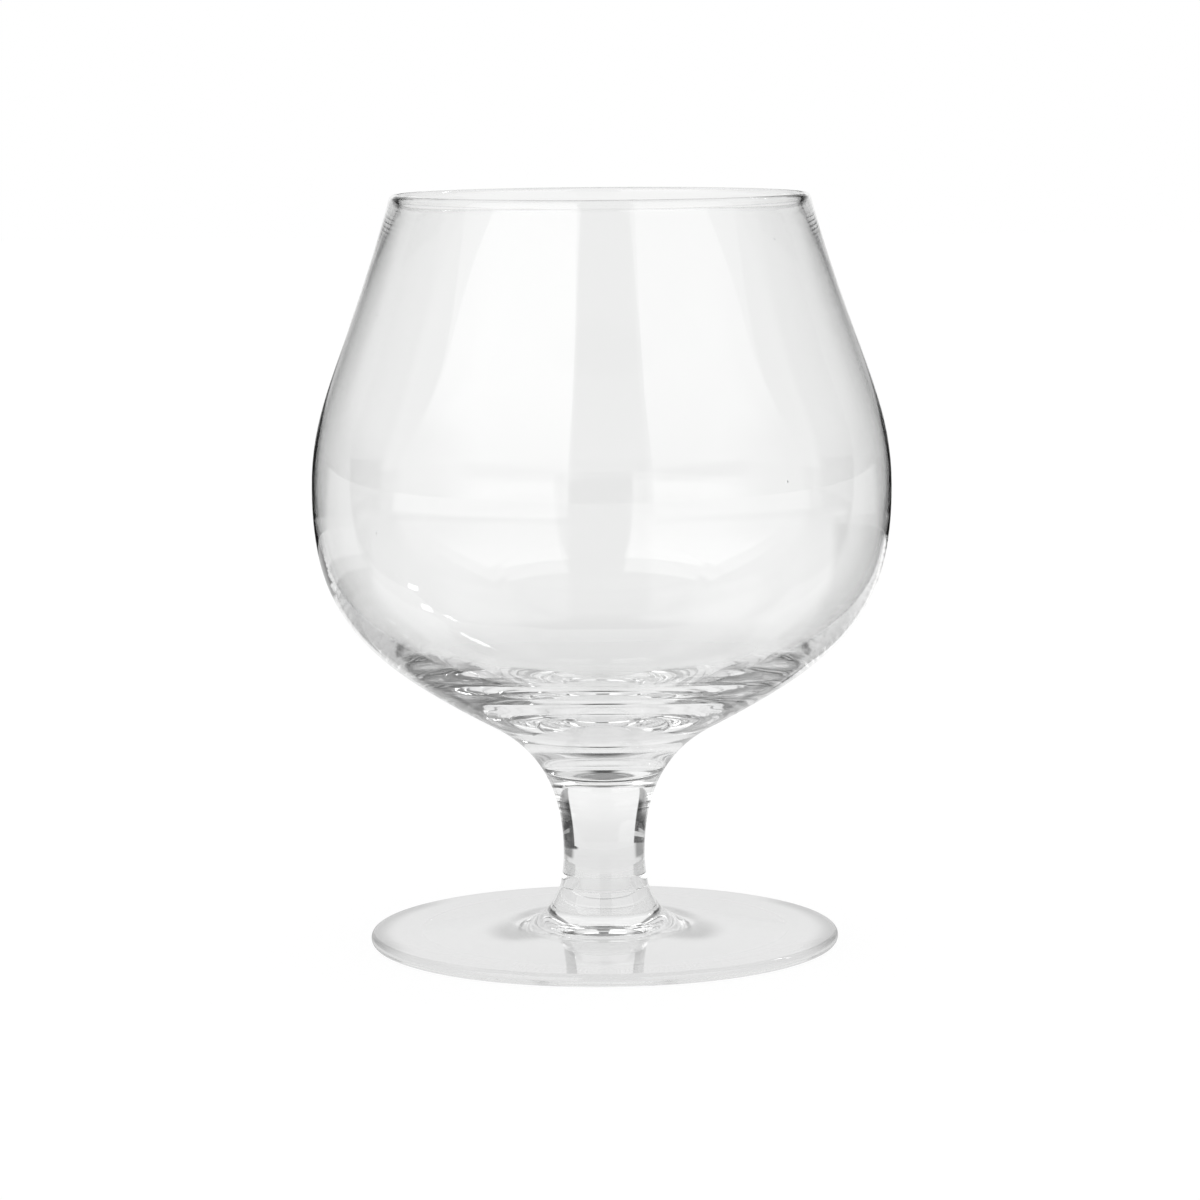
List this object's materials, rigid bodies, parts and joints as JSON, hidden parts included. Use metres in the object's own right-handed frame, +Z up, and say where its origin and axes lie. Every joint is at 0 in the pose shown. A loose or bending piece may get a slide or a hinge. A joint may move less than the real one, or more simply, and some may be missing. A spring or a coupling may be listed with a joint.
{
  "type": "brandy snifter",
  "caption": "Footed drinking glass with a wide belly that narrows to a smaller mouth, on a short stem and a flat round foot; it holds and warms brandy.",
  "frame": {"origin": "centre of the foot's resting face, on the table", "axes": "+Z up along the glass's axis, from the foot to the mouth; it is a body of revolution, so X and Y are free"},
  "size_m": [0.1, 0.1, 0.13],
  "materials": {
    "clear_glass": "fire-polished clear glass, smooth"
  },
  "bodies": {
    "root": {"bowl": "clear_glass", "stem": "clear_glass", "foot": "clear_glass"}
  },
  "joints": []
}
